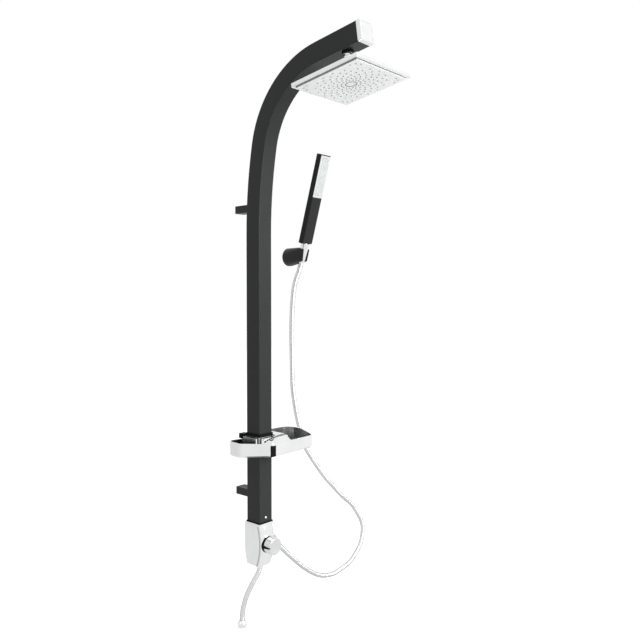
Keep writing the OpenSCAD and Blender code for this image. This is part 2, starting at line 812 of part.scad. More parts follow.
module inlet_stub() {
    color(brass) translate(inlet) difference() {
        union() {
            translate([0, 0, -supply_nut_l + 5]) cylinder(h = supply_nut_l + 10.5, r = thread_d / 2);
            translate([0, 0, -1.5]) cylinder(h = 1.5, r = thread_d / 2 + 2);
        }
        translate([0, 0, -30]) cylinder(h = 60, r = 5);
    }
}

module inlet_washer() {
    color(rubber) translate(inlet) translate([0, 0, -supply_nut_l + 2.7]) ring(thread_d / 2 - 0.5, 5, 2.2);
}

module supply_top_nut() {
    color(chrome) translate(inlet) translate([0, 0, -supply_nut_l]) difference() {
        union() {
            translate([0, 0, 8]) cylinder(h = supply_nut_l - 8 - 1.6, r = 12.2);
            cylinder(h = 8, r1 = 8.6, r2 = 12.2);
        }
        translate([0, 0, 2.6]) cylinder(h = supply_nut_l, r = thread_d / 2 + run);
        translate([0, 0, -cut]) cylinder(h = 10, r = 4.5);
    }
}

// Holder: a cone from the wall to an open clip with a tapered bore
module holder_cone() {
    hand = nut_high + 2 * clip_h;
    slot_low = hose_d / 2 + 0.2;
    slot_high = hose_d / 2 + 6.5;
    color(dark) difference() {
        hull() {
            translate([holder_x, 0, holder_z]) rotate([90, 0, 0]) cylinder(h = 3, r = holder_d / 2 - 1, $fn = 64);
            translate([holder_x, -1.5, holder_z]) rotate([90, 0, 0]) cylinder(h = 10, r = holder_d / 2, $fn = 64);
            on_clip() translate([0, 0, -clip_h / 2]) cylinder(h = clip_h, r = clip_d / 2, $fn = 64);
        }
        on_clip() translate([0, 0, -hand]) cylinder(h = 2 * hand, r1 = cone_r + fit - cone_slope * hand,
            r2 = cone_r + fit + cone_slope * hand);
        // Slot for the hose, wider at the top
        on_clip() rotate([90, 0, 0]) linear_extrude(2 * clip_d)
            polygon([[-slot_low, -clip_h], [slot_low, -clip_h], [slot_high, clip_h], [-slot_high, clip_h]]);
        translate([holder_x, cut, holder_z]) rotate([90, 0, 0]) cylinder(h = 9 + cut, r = 18.15);
        translate([holder_x, -4, holder_z - holder_d]) cylinder(h = holder_d, r = grub_d / 2 + run);
    }
}

module holder_wall_plate() {
    color(steel) difference() {
        translate([holder_x, 0, holder_z]) rotate([90, 0, 0]) cylinder(h = 8, r = 18);
        translate([holder_x, cut, holder_z]) rotate([90, 0, 0]) cylinder(h = 10, r = wall_screw_d / 2);
        translate([holder_x, -4, holder_z - 20]) cylinder(h = 6, r = grub_d / 2 + run);
    }
}

module holder_grub_screw() {
    color(steel) translate([holder_x, -4, holder_z - holder_d / 2 + 1.5]) cylinder(h = 8, r = grub_d / 2);
}

// Outline of the hand shower's body from the side, with its front corner cut back at the foot
module hand_side() {
    difference() {
        translate([0, hand_low + hand_l / 2]) rounded_rect(hand_t, hand_l, 2.5);
        translate([-hand_t / 2, hand_low]) rotate([0, 0, 45]) square(7, center = true);
    }
}

module handset_body() {
    color(black) on_clip() difference() {
        intersection() {
            rotate([90, 0, 90]) translate([0, 0, -hand_w / 2]) linear_extrude(hand_w) hand_side();
            translate([0, 0, hand_low]) linear_extrude(hand_l) rounded_rect(hand_w, hand_t, 3);
        }
        // Seat of the spray plate, the water behind it and the way up to it
        translate([-hand_w / 2 + 1, -hand_t / 2 - cut, spray_low])
            cube([hand_w - 2, cut + 3, spray_l + 0.2]);
        translate([-hand_w / 2 + 5, -hand_t / 2, spray_low + 5]) cube([hand_w - 10, 10, spray_l - 10]);
        translate([0, 0, hand_low - cut]) cylinder(h = spray_low - hand_low + 8, r = 5);
        translate([0, 0, hand_low - cut]) cylinder(h = 12 + cut, r = 6.6);
    }
}

// Plate with a window for the grid of nozzles
module handset_face() {
    color(chrome) on_clip() difference() {
        translate([-hand_w / 2 + 1.1, -hand_t / 2 - 0.5, spray_low + 0.1]) cube([hand_w - 2.2, 3.5, spray_l]);
        translate([-hand_w / 2 + 7, -hand_t / 2 - cut, spray_low + 6]) cube([hand_w - 14, 6, spray_l - 12]);
    }
}

module handset_nozzles() {
    rows = 20;
    cols = 4;
    wide = hand_w - 14.4;
    high = spray_l - 12.4;
    color("#b9bfbf") on_clip() {
        translate([-wide / 2, -hand_t / 2 - 0.2, spray_low + 6.2]) cube([wide, 2.7, high]);
        translate([-wide / 2 - 1.5, -hand_t / 2 + 3.05, spray_low + 5.2]) cube([wide + 3, 1.2, high + 2]);
        translate([-wide / 2, -hand_t / 2 + 2, spray_low + 6.2]) cube([wide, 1.5, high]);
        for (i = [0 : cols - 1], j = [0 : rows - 1])
            translate([(i - (cols - 1) / 2) * wide / cols, -hand_t / 2, spray_low + 6.2 + (j + 0.5) * high / rows])
                rotate([90, 0, 0]) cylinder(h = 0.9, r = 1, $fn = 16);
    }
}

// Threaded end of the hand shower, inside the hose's cone nut
module handset_stem() {
    color(chrome) on_clip() difference() {
        union() {
            translate([0, 0, nut_high - 15]) cylinder(h = 15.5, r = thread_d / 2);
            translate([0, 0, nut_high + 0.3]) cylinder(h = 0.7, r = thread_d / 2 + 2);
            translate([0, 0, nut_high]) cylinder(h = 12, r = 6.55);
        }
        translate([0, 0, 0]) cylinder(h = 60, r = 4.5);
    }
}

module cone_washer() {
    color(rubber) on_clip() translate([0, 0, nut_high - 17.4]) ring(thread_d / 2 - 0.5, 4.5, 2.2);
}

module hose_cone_nut() {
    color(chrome) on_clip() difference() {
        translate([0, 0, nut_foot]) cylinder(h = nut_high - nut_foot, r1 = cone_r + cone_slope * nut_foot,
            r2 = cone_r + cone_slope * nut_high);
        translate([0, 0, nut_high - 17.5]) cylinder(h = 30, r = thread_d / 2 + run);
        translate([0, 0, nut_foot - cut]) cylinder(h = 60, r = 5);
    }
}

module hose_ferrule() {
    color(chrome) on_clip() difference() {
        union() {
            translate([0, 0, nut_foot - ferrule_l]) cylinder(h = ferrule_l, r = hose_d / 2 + 0.8);
            translate([0, 0, nut_foot - 0.01]) cylinder(h = 12, r = 5 - run);
        }
        translate([0, 0, nut_foot - 20]) cylinder(h = 60, r = 3.5);
    }
}

// Tray outline, drawn in by a gap
module tray_outline(gap) {
    hull() for (c = tray_corners) translate([c[0], c[1]]) circle(c[2] - gap, $fn = 48);
}

// Outline round the column, at a distance from it
module round_column(gap) {
    translate([0, col_mid]) rounded_rect(col_w + 2 * gap, col_d + 2 * gap, col_r + gap / 2);
}

// Space above the tray's rim: nearly level on the left, and on the right low in front and high at the back
module above_rim() {
    rise = 16;
    intersection() {
        translate([0, tray_front, rim_z]) rotate([1.5, 1.5, 0])
            translate([-far / 2, -far / 6, 0]) cube([far, far, far]);
        translate([-far, -far / 2, 0]) cube([far, far, far]);
    }
    rotate([90, 0, 90]) linear_extrude(far) polygon([[-far, rim_z + far], [-far, rim_z], [-112, rim_z],
        [-75, rim_z + rise - 3], [0, rim_z + rise + 2], [0, rim_z + far]]);
    rotate([90, 0, 0]) linear_extrude(far)
        polygon([[0, rim_z + 3], [34, rim_z + rise], [34, rim_z + far], [0, rim_z + far]]);
}

// Bridge between the basins: a slope up to the right, then ribs down into the right basin
rib_x = bridge_crest + 6;
bridge_right = rib_x + rib_step * ribs;
module bridge_outline(down, low) {
    top = rim_z + 18 - down;
    span = bridge_crest - bridge_left;
    polygon(concat([[bridge_left, low]],
        [for (i = [0 : 10]) [bridge_left + span * i / 10, top - 12.4 + 12.4 * sin(9 * i)]],
        [[rib_x, top]],
        [for (i = [0 : ribs - 1], k = [0, 1]) [rib_x + rib_step * (i + k * 0.6), top - (6 + k * 0.5) * (i + 1)]],
        [[bridge_right, low]]));
}

// Slice of the bridge between two depths, its top lowered by a step
module bridge_slice(back, front, down, low) {
    translate([0, back, 0]) rotate([90, 0, 0]) linear_extrude(back - front) bridge_outline(down, low);
}

// Space under the bridge, open from below
module bridge_hollow() {
    wall = 4;
    intersection() {
        bridge_slice(bridge_back - wall, -far, 14.7, tray_z - 2 * cut);
        translate([bridge_left + wall, -far, 0]) cube([bridge_right - bridge_left - 2 * wall, far, far]);
        translate([0, 0, tray_z - cut]) linear_extrude(far) difference() {
            tray_outline(2 * tray_wall + 0.5);
            round_column(collar_wall + sleeve_gap + tray_wall);
        }
    }
}

// Sleeve round the column's collar, lower at the front than at the back
module tray_sleeve() {
    intersection() {
        translate([0, 0, tray_z]) linear_extrude(far) round_column(collar_wall + sleeve_gap + tray_wall);
        rotate([90, 0, 90]) translate([0, 0, -far / 2]) linear_extrude(far)
            polygon([[0, 0], [0, rim_z + 6.5], [-50, rim_z + 6.5], [-50, rim_z + 16], [tray_front, rim_z + 13.5],
                [tray_front, 0]]);
    }
}

module tray_body() {
    color(chrome) difference() {
        union() {
            // Shell with a rounded foot, cut along its rim
            difference() {
                hull() {
                    translate([0, 0, tray_z + 4]) linear_extrude(60) tray_outline(0);
                    translate([0, 0, tray_z]) linear_extrude(60) tray_outline(4);
                }
                above_rim();
                translate([0, 0, tray_z + tray_wall]) linear_extrude(100) tray_outline(tray_wall);
            }
            // Bridge in three steps from back to front, and the sleeve
            difference() {
                intersection() {
                    union() {
                        bridge_slice(bridge_back, groove_y, 0, tray_z);
                        bridge_slice(groove_y + 1, groove_y - 4, 6, tray_z);
                        bridge_slice(groove_y - 4, -far, 3, tray_z);
                        tray_sleeve();
                    }
                    translate([0, 0, tray_z + 2]) linear_extrude(100) tray_outline(tray_wall - 0.1);
                }
                translate([0, 0, tray_z + tray_wall]) linear_extrude(100) round_column(collar_wall + sleeve_gap);
            }
            // Collar round the column
            translate([0, 0, tray_z]) linear_extrude(clamp_z - tray_z) round_column(collar_wall);
        }
        translate([0, 0, tray_z - cut]) linear_extrude(100) round_column(0.5);
        bridge_hollow();
        // Slots between the ribs
        for (i = [0 : ribs - 2]) translate([rib_x + rib_step * (i + 0.62), groove_y + 4, tray_z - cut])
            cube([2.3, bridge_back - groove_y - 12, 100]);
        // Seat of the insert
        translate([-insert_w / 2 - fit, tray_front - cut, tray_z + 1]) cube([insert_w + 2 * fit, 4, insert_h]);
        // Drain holes
        for (p = [[118, -100], [126, -88], [134, -76], [110, -84], [118, -72], [-46, -62], [-46, -46]])
            translate([p[0], p[1], tray_z - cut]) cylinder(h = 10, r = 2.5);
    }
}

module tray_insert() {
    color(dark) translate([-insert_w / 2, tray_front - 0.6, tray_z + 1 + fit])
        cube([insert_w, 3.4, insert_h - 2 * fit]);
}

// Split clamp on the tray's collar, with two ears at its back and the screw through them
module tray_clamp() {
    color(dark) difference() {
        union() {
            translate([0, 0, clamp_z]) linear_extrude(clamp_h) round_column(clamp_wall);
            translate([ear_x, collar_back - 3, clamp_z]) cube([ear_w, ear_end - collar_back + 3, 4]);
            translate([ear_x, collar_back + 0.4, ear_z]) cube([ear_w, ear_end - collar_back - 0.4, ear_h]);
        }
        translate([0, 0, clamp_z - cut]) linear_extrude(clamp_h + 2 * cut) round_column(run);
        translate([ear_x + 7.5, -stand_off - 0.5, ear_z - cut]) cube([3, 60, 20]);
        translate([ear_x - cut, clamp_screw_y, ear_z + ear_h / 2]) rotate([0, 90, 0]) cylinder(h = 30, r = 2.6);
    }
}

module clamp_screw() {
    color(steel) translate([ear_x, clamp_screw_y, ear_z + ear_h / 2]) rotate([0, 90, 0]) {
        translate([0, 0, -3.5]) cylinder(h = 3.5, r = 4.2);
        translate([0, 0, -0.01]) cylinder(h = 23, r = 2.5);
    }
}

module clamp_nut() {
    color(steel) translate([ear_x + ear_w, clamp_screw_y, ear_z + ear_h / 2]) rotate([0, 90, 0]) difference() {
        cylinder(h = 4, r = 4.4, $fn = 6);
        translate([0, 0, -cut]) cylinder(h = 6, r = 2.55);
    }
}

// A hose: rings of points square to the route at its own points, joined to one skin
hose_sides = 10;
function unit(v) = v / norm(v);
function course(p, i, a, b) = i == 0 ? a : i == len(p) - 1 ? b
    : unit(unit(p[i] - p[i - 1]) + unit(p[i + 1] - p[i]));
function hose_ring(c, t, r) = let (s = unit(cross([0, 1, 0], t)), u = cross(t, s))
    [for (k = [0 : hose_sides - 1]) c + r * (cos(360 * k / hose_sides) * s + sin(360 * k / hose_sides) * u)];

module hose(p, d, first, last) {
    n = len(p);
    pts = [for (i = [0 : n - 1]) each hose_ring(p[i], course(p, i, unit(first), unit(last)), d / 2)];
    sides = [for (i = [0 : n - 2], k = [0 : hose_sides - 1], h = [0, 1])
        let (m = (k + 1) % hose_sides, a = i * hose_sides)
        h == 0 ? [a + k, a + m, a + m + hose_sides] : [a + k, a + m + hose_sides, a + k + hose_sides]];
    ends = [for (k = [1 : hose_sides - 2], h = [0, 1]) let (a = (n - 1) * hose_sides)
        h == 0 ? [0, k + 1, k] : [a, a + k, a + k + 1]];
    polyhedron(points = pts, faces = concat(sides, ends));
}

// Places where the hoses start and end, from the pieces that they meet
outlet_end = elbow + outlet_l * [sin(45), 0, -sin(45)];
clip_end = clip_mid + (nut_foot - ferrule_l - 0.03) * [0, -sin(lean), cos(lean)];
supply_start = inlet - [0, 0, supply_nut_l];

module shower_hose() {
    color(steel) hose(concat([outlet_end], hose_route), hose_d, [1, 0, -1], [0, 0, 1]);
}

module shower_hose_top() {
    color(steel) hose(concat(hose_top_route, [clip_end]), hose_d, [0, 0, 1], [0, -sin(lean), cos(lean)]);
}

module supply_hose() {
    color(steel) hose(concat([supply_start], supply_route, [supply_end]), hose_d, [0, 0, -1], [0, 0, -1]);
}

module supply_end_nut() {
    nut_l = 18;
    skirt_l = 6;
    color(chrome) translate(supply_end) difference() {
        union() {
            translate([0, 0, -skirt_l]) cylinder(h = skirt_l, r1 = thread_d / 2 + 2.7, r2 = 8.6);
            translate([0, 0, -nut_l]) cylinder(h = nut_l - skirt_l + 0.01, r = thread_d / 2 + 2.7);
        }
        translate([0, 0, -nut_l - cut]) cylinder(h = nut_l - 3 + cut, r = thread_d / 2 + run);
        translate([0, 0, -nut_l]) cylinder(h = nut_l + cut, r = 4.5);
    }
}

column_tube();
end_cap();
column_plug();
riser_tube();
neck_fitting();
neck_collar();
ball_stem();
lower_bracket();
upper_bracket();
lower_wall_plate();
upper_wall_plate();
bracket_screws();
bracket_grub_screws();
foot_seal();
diverter_housing();
housing_screw();
diverter_cartridge();
cartridge_ring();
spool();
spool_seals();
knob();
knob_index();
knob_screw();
outlet_elbow();
outlet_washer();
inlet_stub();
inlet_washer();
ball_slip_ring();
ball_nut();
ball_seal();
inlet_filter();
head_shell();
face_gasket();
head_face();
nozzle_mat();
holder_cone();
holder_wall_plate();
holder_grub_screw();
handset_body();
handset_face();
handset_nozzles();
handset_stem();
cone_washer();
hose_cone_nut();
hose_ferrule();
tray_body();
tray_insert();
tray_clamp();
clamp_screw();
clamp_nut();
shower_hose();
shower_hose_top();
hose_end_nut();
supply_hose();
supply_top_nut();
supply_end_nut();
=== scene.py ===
# Rain shower set: materials, hoses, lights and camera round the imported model. Metres, +Z up, the wall is y = 0.
import json
import math

import bmesh
import bpy
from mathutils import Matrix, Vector


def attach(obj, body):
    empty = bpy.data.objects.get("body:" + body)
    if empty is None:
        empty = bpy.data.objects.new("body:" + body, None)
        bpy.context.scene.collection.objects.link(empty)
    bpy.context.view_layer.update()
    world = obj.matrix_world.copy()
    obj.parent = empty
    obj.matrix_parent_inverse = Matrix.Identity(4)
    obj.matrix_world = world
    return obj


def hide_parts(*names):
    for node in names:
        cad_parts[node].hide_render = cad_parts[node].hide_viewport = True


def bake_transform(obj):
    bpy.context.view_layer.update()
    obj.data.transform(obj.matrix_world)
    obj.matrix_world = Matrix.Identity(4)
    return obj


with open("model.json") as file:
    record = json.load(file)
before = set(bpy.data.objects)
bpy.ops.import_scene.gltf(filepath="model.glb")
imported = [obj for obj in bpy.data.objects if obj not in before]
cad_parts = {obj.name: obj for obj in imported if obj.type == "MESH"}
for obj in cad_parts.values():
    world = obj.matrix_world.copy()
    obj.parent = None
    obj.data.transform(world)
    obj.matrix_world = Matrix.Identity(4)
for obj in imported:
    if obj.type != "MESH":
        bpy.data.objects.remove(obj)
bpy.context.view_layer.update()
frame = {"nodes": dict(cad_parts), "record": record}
NODES = frame["nodes"]

MM = 0.001
SAME_POINT = 1e-6  # vertices closer than this are one


# ---------------------------------------------------------------- camera

# The photograph's camera, from a fit to the edges of the column and the head. The lens is in millimetres and
# the angles are in radians.
CAMERA_LENS = 39.087
CAMERA_PLACE = (-1.25772, -1.43105, 0.52450)
CAMERA_DOWN = 0.032178
CAMERA_TURN = -0.83594


def photo_camera():
    """The camera of the photograph."""
    data = bpy.data.cameras.new("photo_camera")
    data.sensor_width = 36
    data.lens = CAMERA_LENS
    data.clip_start, data.clip_end = 0.05, 60
    camera = bpy.data.objects.new("photo_camera", data)
    bpy.context.scene.collection.objects.link(camera)
    camera.location = CAMERA_PLACE
    camera.rotation_euler = (math.pi / 2 - CAMERA_DOWN, 0, CAMERA_TURN)
    bpy.context.scene.camera = camera


# ---------------------------------------------------------------- hoses

HOSE_D = 0.0135
LEAN = math.radians(16.5)  # of the hand shower, forward from upright
LINE_STEP = 0.002          # between the points of a hose's middle line
SPAN_PARTS = 24            # straight bits that stand for the curve between two points of a route

# The hoses' routes, in millimetres as in the part's source
OUTLET_END = (58.012, -76.5, -142.012)
CLIP_END = (188, -51.116, 623.071)
HAND_ROUTE = [
    (78, -76.5, -162), (106, -76, -190), (139, -76, -220), (172, -75, -248),
    (205, -74, -272), (236, -73, -290), (268, -72, -302), (312, -70, -309), (357, -68, -304), (390, -66, -298),
    (416, -64, -285), (440, -62, -267), (456, -60, -248), (465, -57, -229), (468, -56, -210), (463, -54, -188),
    (452, -52, -168), (438, -50, -147), (422, -48, -127), (398, -46, -107), (372, -44, -85), (342, -42, -56),
    (311, -40, -26), (293, -38, -5), (277, -36, 15), (262, -35, 33), (248, -34, 52), (236, -33, 68),
    (226, -31, 86), (216, -29, 114), (204, -28, 148), (193, -27, 188), (185, -26, 228), (180, -25, 264),
    (178, -25, 300), (177, -25, 340), (176, -25, 388), (175, -25.5, 417), (175, -26, 446),
    (175, -27, 475), (175, -29, 503), (175, -32, 530), (175.5, -36, 556), (178, -42, 580), (183, -48.5, 602)]
SUPPLY_START = (0, -76.5, -199)
SUPPLY_END = (-34, -44, -340)
SUPPLY_ROUTE = [
    (-2, -75.5, -209), (-6, -73, -218), (-12, -69, -230), (-18, -65, -243), (-24, -60, -258),
    (-29, -55, -275), (-32, -50, -294), (-34, -46, -315)]


def smooth_line(points, first, last):
    """Evenly spaced points on a smooth curve through a route with given end directions, and its length."""
    p = [Vector(q) * MM for q in points]
    near = Vector(first).normalized() * (p[1] - p[0]).length
    far = Vector(last).normalized() * (p[-1] - p[-2]).length
    p = [p[1] - 2 * near] + p + [p[-2] + 2 * far]
    dense = []
    for a, b, c, d in zip(p, p[1:], p[2:], p[3:]):
        for k in range(SPAN_PARTS):
            t = k / SPAN_PARTS
            dense.append(0.5 * (2 * b + (c - a) * t + (2 * a - 5 * b + 4 * c - d) * t * t
                                + (3 * b - a - 3 * c + d) * t ** 3))
    dense.append(p[-2])
    lengths = [0.0]
    for a, b in zip(dense, dense[1:]):
        lengths.append(lengths[-1] + (b - a).length)
    count = round(lengths[-1] / LINE_STEP)
    line, i = [], 0
    for k in range(count + 1):
        want = lengths[-1] * k / count
        while i < len(dense) - 2 and lengths[i + 1] < want:
            i += 1
        span = lengths[i + 1] - lengths[i]
        line.append(dense[i].lerp(dense[i + 1], (want - lengths[i]) / span if span else 0))
    return line, lengths[-1]


def along(line, total):
    """A function from a distance along the line to (point, side, up), without twist."""
    step = total / (len(line) - 1)
    course = [(line[min(i + 1, len(line) - 1)] - line[max(i - 1, 0)]).normalized() for i in range(len(line))]
    side = [course[0].orthogonal().normalized()]
    for t in course[1:]:
        s = side[-1] - t * side[-1].dot(t)
        side.append(s.normalized())

    def at(s):
        # Kept a little before the last point, so that a next point always exists
        x = min(max(s / step, 0), len(line) - 1.0001)
        i = int(x)
        f = x - i
        t = course[i].lerp(course[i + 1], f).normalized()
        a = side[i].lerp(side[i + 1], f)
        a = (a - t * a.dot(t)).normalized()
        return line[i].lerp(line[i + 1], f), a, t.cross(a)

    return at


def sheath(name, line, total, d, pitch=3.6 * MM, groove=0.75 * MM, around=18):
    """A hose of wound metal strip: the rows of faces follow the strip's turns round the line."""
    # One turn of the strip: how far along the turn, and the height against the hose's outside
    profile = [(0.0, -groove), (0.16, -0.12 * groove), (0.5, 0.0), (0.84, -0.12 * groove)]
    at = along(line, total)
    turns = math.ceil(total / pitch) + 1
    mesh = bmesh.new()
    # This layer marks the grooves' bottoms, where the hose material paints shade
    groove_shade_layer = mesh.verts.layers.float.new("groove")
    rows = []
    for turn in range(-1, turns):
        for phase, dip in profile:
            row = []
            for j in range(around):
                s = (turn + phase + j / around) * pitch
                clipped = min(max(s, 0.0), total)
                r = d / 2 + (dip if clipped == s else -groove)
                point, a, b = at(clipped)
                angle = 2 * math.pi * j / around
                v = mesh.verts.new(point + r * (math.cos(angle) * a + math.sin(angle) * b))
                v[groove_shade_layer] = 1.0 if dip == -groove else 0.0
                row.append(v)
            rows.append(row)
    per_turn = len(profile)
    for i in range(len(rows) - 1):
        for j in range(around):
            if j < around - 1:
                corners = [rows[i][j], rows[i][j + 1], rows[i + 1][j + 1], rows[i + 1][j]]
            elif i + 1 + per_turn < len(rows):
                corners = [rows[i][j], rows[i + per_turn][0], rows[i + 1 + per_turn][0], rows[i + 1][j]]
            else:
                continue
            mesh.faces.new(corners)
    bmesh.ops.remove_doubles(mesh, verts=mesh.verts, dist=SAME_POINT)
    bmesh.ops.dissolve_degenerate(mesh, edges=mesh.edges, dist=SAME_POINT)
    bmesh.ops.holes_fill(mesh, edges=[e for e in mesh.edges if e.is_boundary], sides=0)
    bmesh.ops.recalc_face_normals(mesh, faces=mesh.faces)
    return mesh_object(name, mesh)


def mesh_object(name, mesh, smooth=True):
    """A new object in the scene from a bmesh, which it frees."""
    data = bpy.data.meshes.new(name)
    mesh.to_mesh(data)
    mesh.free()
    if smooth:
        data.shade_smooth()
    obj = bpy.data.objects.new(name, data)
    bpy.context.scene.collection.objects.link(obj)
    return obj


# ---------------------------------------------------------------- small nodes

def add(tree, kind, **settings):
    """A shader node with its settings; its sockets are set or linked afterwards."""
    node = tree.nodes.new("ShaderNode" + kind)
    for key, value in settings.items():
        setattr(node, key, value)
    return node


def feed(tree, socket, value):
    """Gives an input socket a number, or links another socket to it."""
    if isinstance(value, (int, float)):
        socket.default_value = value
    else:
        tree.links.new(value, socket)


def calc(tree, operation, *values):
    """One math node on sockets and numbers."""
    node = add(tree, "Math", operation=operation)
    for socket, value in zip(node.inputs, values):
        feed(tree, socket, value)
    return node.outputs[0]


def spread(tree, value, source=(0.0, 1.0), target=(0.0, 1.0)):
    """Carries a value from one range over to another and stops at its ends."""
    node = add(tree, "MapRange")
    labels = ("Value", "From Min", "From Max", "To Min", "To Max")
    for label, number in zip(labels, (value, *source, *target)):
        feed(tree, node.inputs[label], number)
    return node.outputs["Result"]


def blend_colours(tree, factor, first, second):
    """Mixes the colour of a socket with a second colour, a socket or (red, green, blue)."""
    node = add(tree, "Mix", data_type="RGBA")
    tree.links.new(factor, node.inputs["Factor"])
    tree.links.new(first, node.inputs["A"])
    if isinstance(second, tuple):
        node.inputs["B"].default_value = (*second, 1)
    else:
        tree.links.new(second, node.inputs["B"])
    return node.outputs["Result"]


def blend_shaders(tree, factor, first, second):
    """Mixes two shaders by a socket."""
    node = add(tree, "MixShader")
    for socket, source in zip(node.inputs, (factor, first, second)):
        tree.links.new(source, socket)
    return node.outputs[0]


def position(tree):
    """Where a point lies on its object, in metres."""
    return add(tree, "TexCoord").outputs["Object"]


def stretched(tree, pull):
    """The position with its height scaled, which draws a texture out along Z."""
    node = add(tree, "Mapping")
    tree.links.new(position(tree), node.inputs["Vector"])
    node.inputs["Scale"].default_value = (1.0, 1.0, pull)
    return node.outputs["Vector"]


def split_axes(tree, vector):
    """A vector's X, Y and Z."""
    node = add(tree, "SeparateXYZ")
    tree.links.new(vector, node.inputs[0])
    return node.outputs


def noise(tree, vector, scale, detail, rough=0.55):
    """Soft noise at a place; its scale is a number or a socket."""
    node = add(tree, "TexNoise")
    tree.links.new(vector, node.inputs["Vector"])
    feed(tree, node.inputs["Scale"], scale)
    node.inputs["Detail"].default_value = detail
    node.inputs["Roughness"].default_value = rough
    return node.outputs["Fac"]


# ---------------------------------------------------------------- node groups

FLECK_SCALE = 900.0
FLECK_SHARE = 0.25
CELL_SHARE = 0.6      # of the moulded cells in the grain's height
WIPED_PULL = 0.25     # wiping marks are four times as long as wide
BRUSHED_PULL = 0.03


def node_group(name, inputs, outputs, build):
    """A shader node group with named inputs (name, kind, default) and outputs (name, kind)."""
    tree = bpy.data.node_groups.new(name, "ShaderNodeTree")
    kinds = {"value": "NodeSocketFloat", "colour": "NodeSocketColor"}
    for label, kind, default in inputs:
        socket = tree.interface.new_socket(name=label, in_out="INPUT", socket_type=kinds[kind])
        socket.default_value = default
    for label, kind in outputs:
        tree.interface.new_socket(name=label, in_out="OUTPUT", socket_type=kinds[kind])
    given = tree.nodes.new("NodeGroupInput").outputs
    made = tree.nodes.new("NodeGroupOutput").inputs
    build(tree, given, made)
    return tree


def build_tone(tree, given, made):
    """Colour that drifts between two close tones, with a fine fleck on top."""
    place = position(tree)
    broad = noise(tree, place, given["Scale"], 4.0)
    fine = noise(tree, place, FLECK_SCALE, 2.0)
    mixed = calc(tree, "MULTIPLY_ADD", fine, FLECK_SHARE, broad)
    share = spread(tree, mixed, (0.4, 0.85))
    tree.links.new(blend_colours(tree, share, given["Colour"], given["Second colour"]), made["Colour"])


def build_handled(tree, given, made):
    """Roughness between two values: broad soft patches where hands and water dry, and faint wiping marks."""
    broad = noise(tree, stretched(tree, WIPED_PULL), given["Scale"], 5.0, 0.6)
    tree.links.new(spread(tree, broad, (0.35, 0.7), (given["Smooth"], given["Rough"])), made["Roughness"])


def build_grain(tree, given, made):
    """Height of a fine moulded or sprayed grain."""
    place = position(tree)
    cells = add(tree, "TexVoronoi", feature="SMOOTH_F1")
    tree.links.new(place, cells.inputs["Vector"])
    tree.links.new(given["Scale"], cells.inputs["Scale"])
    bumps = noise(tree, place, given["Scale"], 2.0)
    tree.links.new(calc(tree, "MULTIPLY_ADD", cells.outputs["Distance"], CELL_SHARE, bumps), made["Height"])


def build_brushed(tree, given, made):
    """Height and roughness of fine parallel scratches along Z."""
    lines = noise(tree, stretched(tree, BRUSHED_PULL), given["Scale"], 4.0, 0.7)
    tree.links.new(lines, made["Height"])
    tree.links.new(spread(tree, lines, target=(given["Smooth"], given["Rough"])), made["Roughness"])


# Zones of painted dark reflection on the housing and the knob, in metres: the strip beside the bow, the side, the
# back of the bow, the rim above, and the knob line's height, its right end, and how its half width falls towards
# the front
BOW_EDGE_X = (0.0222, 0.0268)
SIDE_X = 0.02695
BOW_FRONT_Y = -0.0725
RIM_Z = -0.0785
KNOB_Z = -0.128
KNOB_LINE_X = -0.0192
KNOB_LINE_Y = (-0.1158, -0.1378)
KNOB_LINE_HALF = (0.0045, 0.0018)


def build_bow_edge_reflection(tree, _given, made):
    """Mask of the painted dark reflection along the strip where the bowed front turns into the flat sides."""
    x, y, z = split_axes(tree, position(tree))
    out = calc(tree, "ABSOLUTE", x)
    mask = spread(tree, out, BOW_EDGE_X)
    for value, limit in ((y, BOW_FRONT_Y), (out, SIDE_X), (z, RIM_Z)):
        mask = calc(tree, "MULTIPLY", mask, calc(tree, "LESS_THAN", value, limit))
    tree.links.new(mask, made["Mask"])


def build_knob_dark_reflection(tree, _given, made):
    """Mask of the painted dark reflection, a line that carries the dark wedge on the knob's side on to its front
    edge.
    """
    x, y, z = split_axes(tree, position(tree))
    half = spread(tree, y, KNOB_LINE_Y, KNOB_LINE_HALF)
    off = calc(tree, "ABSOLUTE", calc(tree, "SUBTRACT", z, KNOB_Z))
    near = calc(tree, "LESS_THAN", off, half)
    left = calc(tree, "LESS_THAN", x, KNOB_LINE_X)
    tree.links.new(calc(tree, "MULTIPLY", near, left), made["Mask"])


TONE = node_group(
    "uneven tone",
    [("Colour", "colour", (0, 0, 0, 1)), ("Second colour", "colour", (0, 0, 0, 1)), ("Scale", "value", 8.0)],
    [("Colour", "colour")], build_tone)
HANDLED = node_group(
    "handled finish", [("Smooth", "value", 0.1), ("Rough", "value", 0.2), ("Scale", "value", 20.0)],
    [("Roughness", "value")], build_handled)
GRAIN = node_group("fine grain", [("Scale", "value", 1500.0)], [("Height", "value")], build_grain)
BRUSHED = node_group(
    "brushed lines", [("Smooth", "value", 0.2), ("Rough", "value", 0.4), ("Scale", "value", 900.0)],
    [("Height", "value"), ("Roughness", "value")], build_brushed)
BOW_EDGE_REFLECTION = node_group("painted bow edge reflection", [], [("Mask", "value")], build_bow_edge_reflection)
KNOB_DARK_REFLECTION = node_group("painted dark reflection on knob", [], [("Mask", "value")], build_knob_dark_reflection)


# ---------------------------------------------------------------- materials

def effect(tree, group, **values):
    """A node group's outputs, with its inputs set; an underscore stands for a space in an input's name."""
    node = tree.nodes.new("ShaderNodeGroup")
    node.node_tree = group
    for key, value in values.items():
        node.inputs[key.replace("_", " ")].default_value = value
    return node.outputs


